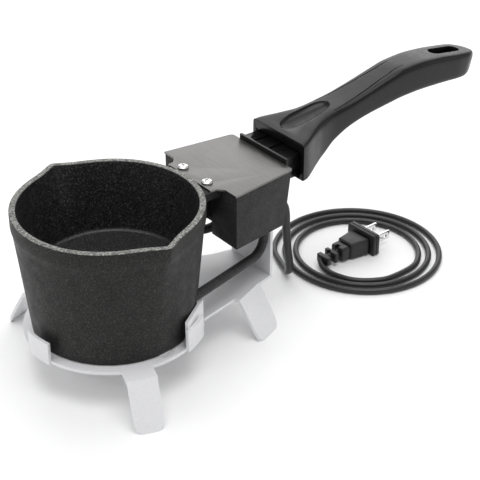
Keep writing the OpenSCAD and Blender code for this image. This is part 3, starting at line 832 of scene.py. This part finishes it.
def spline_value(stations, column, x):
    """Monotone smooth interpolation of one column of the stations."""
    xs = [s[0] for s in stations]
    ys = [s[column] for s in stations]
    i = max(k for k in range(len(xs) - 1) if xs[k] <= x + 1e-9)
    slopes = [(ys[k + 1] - ys[k]) / (xs[k + 1] - xs[k]) for k in range(len(xs) - 1)]

    def tangent(k):
        if k == 0:
            return slopes[0]
        if k == len(xs) - 1:
            return slopes[-1]
        a, b = slopes[k - 1], slopes[k]
        return 0 if a * b <= 0 else 2 * a * b / (a + b)

    h = xs[i + 1] - xs[i]
    t = (x - xs[i]) / h
    m0, m1 = tangent(i), tangent(i + 1)
    return (ys[i] * (2 * t ** 3 - 3 * t ** 2 + 1) + m0 * h * (t ** 3 - 2 * t ** 2 + t)
            + ys[i + 1] * (3 * t ** 2 - 2 * t ** 3) + m1 * h * (t ** 3 - t ** 2))


def signed_power(v, e):
    return math.copysign(abs(v) ** e, v)


def handle_ring(x):
    """Outline across the handle; its lower corners are crisper by the housing, and its end leans."""
    half, top, low, e = (spline_value(handle_stations, column, x) for column in (1, 2, 3, 4))
    lean = END_LEAN * clamped((x - 250) / 40, 0, 1)
    low_e = e * clamped((x - 118) / 60, 0.3, 1)
    deep = (top - low) / 2
    ring = []
    for k in range(HANDLE_SIDES):
        a = 2 * math.pi * (k + 0.5) / HANDLE_SIDES
        corner = e if math.sin(a) > 0 else low_e
        rise = deep * signed_power(math.sin(a), corner)
        across = half * signed_power(math.cos(a), corner)
        ring.append(place(x + lean * (rise - deep), across, (top + low) / 2 + rise))
    return ring


handle_xs = [127.2, 127.8, 128.6, 129.6]
handle_xs += [131 + 2.0 * k for k in range(78)]
handle_xs += [287, 289, 290.5, 292, 293.2, 294.2, 295, 295.6, GRIP_END]
handle = loft("handle_grip", [handle_ring(x) for x in handle_xs], sharp=50)


def handle_top(x):
    return spline_value(handle_stations, 2, x)


RECESS_X = (130.6, 169.6)
RECESS_HALF = (8.6, 7)
RECESS_Y = 1.2
RECESS_DEEP = 3.8
RECESS_STEPS = 20
SLOT_X = 270
SLOT_R = 5
SLOT_SHIFT = 8


def recess_cutter():
    """A long rounded dish under the handle's top line, for the thumb."""
    rings = []
    for i in range(RECESS_STEPS + 1):
        t = i / RECESS_STEPS
        x = RECESS_X[0] + (RECESS_X[1] - RECESS_X[0]) * t
        swell = math.sqrt(max(1 - abs(2 * t - 1) ** 2.8, 0.0004))
        half = (RECESS_HALF[0] + (RECESS_HALF[1] - RECESS_HALF[0]) * t) * swell
        centre = handle_top(x) + 0.3
        ring = []
        for k in range(32):
            a = 2 * math.pi * k / 32
            rise = math.sin(a)
            reach = 6 if rise > 0 else RECESS_DEEP * swell
            ring.append(place(x, RECESS_Y + half * math.cos(a), centre + reach * rise))
        rings.append(ring)
    return loft("recess", rings, sharp=60)


def slot_cutter():
    """An upright oblong through the handle's end, to hang it by."""
    rings = []
    for z in (100, 150):
        ring = []
        for k in range(48):
            a = 2 * math.pi * k / 48
            shift = SLOT_SHIFT if math.cos(a) >= 0 else -SLOT_SHIFT
            ring.append(place(SLOT_X + shift + SLOT_R * math.cos(a), SLOT_R * math.sin(a), z))
        rings.append(ring)
    return loft("hang_slot", rings)


recess = recess_cutter()
hang_slot = slot_cutter()
# the handle's face towards the housing: two shallow steps, and the pocket for the adapter's tenon
mouth = block("mouth", (120, -20.7, 92.4), (128.6, 20.7, 107.75), 0.2, 2)
mouth_ring = block("mouth_ring", (120, -22, 91.4), (127.9, 22, 109), 0.9, 3)
tenon = block("tenon", (120, -9.1, 95.9), (143.2, 9.1, 105.1), 0)
carve(handle, [recess, hang_slot, mouth, mouth_ring, tenon], sharp=40)
groove_plan = [(165, 9.4, 0), (176, 8.6, 0), (190, 7.7, 0), (208, 6.4, 0), (225, 5.5, 0), (240, 4.9, 0)]
groove_line = smooth_points(groove_plan, 2)
GROOVE_R = 0.5


def groove_radius(share):
    """Full in the middle, thin at both ends."""
    return GROOVE_R * math.sin(math.pi * clamped(share + 0.12, 0.14, 0.97)) ** 0.5


def groove(side):
    """Thin parting line on the top, near the edge of one side, fading towards the end."""
    pts = [(p.x, side * p.y, handle_top(p.x) - 0.12 - 0.04 * p.y + 0.15) for p in groove_line]
    return sweep("groove", pts, groove_radius, 10)


carve(handle, [groove(-1), groove(1)], sharp=40)
handle = bevel(handle, 0.3, 2, 50, sharp=40)
dress(handle, "handle_plastic", "pot_unit", ["handle"])


# ---- stand --------------------------------------------------------------------

stand = refined("stand_rounded", "stand", 0.35, 2)
dress(stand, "stand_aluminium", "stand", ["stand"])


# ---- floor and light ------------------------------------------------------------

def plain_floor():
    """A wide pale sheet at the table's level, for the stage."""
    size = 6.0
    mesh = bpy.data.meshes.new("floor")
    corners = [(-size, -size, 0), (size, -size, 0), (size, size, 0), (-size, size, 0)]
    mesh.from_pydata(corners, [], [(0, 1, 2, 3)])
    obj = bpy.data.objects.new("floor", mesh)
    bpy.context.collection.objects.link(obj)
    f = Finish("floor_white", specular=0.2)
    f.colour(f.ramp(f.noise(3, 2), [(0.3, (0.93, 0.93, 0.93, 1)), (0.7, (0.95, 0.95, 0.95, 1))]))
    f.roughness(f.span(f.noise(5, 2), 0.3, 0.7, 0.7, 0.8))
    mesh.materials.append(f.material)


def area_light(name, location, target, size, power):
    """A square soft light, in metres and watts."""
    data = bpy.data.lights.new(name, "AREA")
    data.energy = power
    data.size = size
    obj = bpy.data.objects.new(name, data)
    bpy.context.collection.objects.link(obj)
    obj.location = location
    obj.rotation_euler = (Vector(target) - Vector(location)).to_track_quat("-Z", "Y").to_euler()


plain_floor()
area_light("key", (-0.1, -0.2, 1.6), (0, 0, 0), 1.4, 19)
area_light("left", (-1.5, 0.3, 0.9), (0, 0, 0.05), 1.2, 3.5)
area_light("right", (1.4, -0.9, 0.7), (0, 0, 0.05), 1.0, 1.5)
area_light("back", (0.75, 0.95, 0.85), (0.05, 0, 0.1), 1.5, 10)
world = bpy.data.worlds.new("studio")
bpy.context.scene.world = world
world.use_nodes = True
background = world.node_tree.nodes["Background"]
background.inputs["Color"].default_value = (1, 1, 1, 1)
background.inputs["Strength"].default_value = 0.45
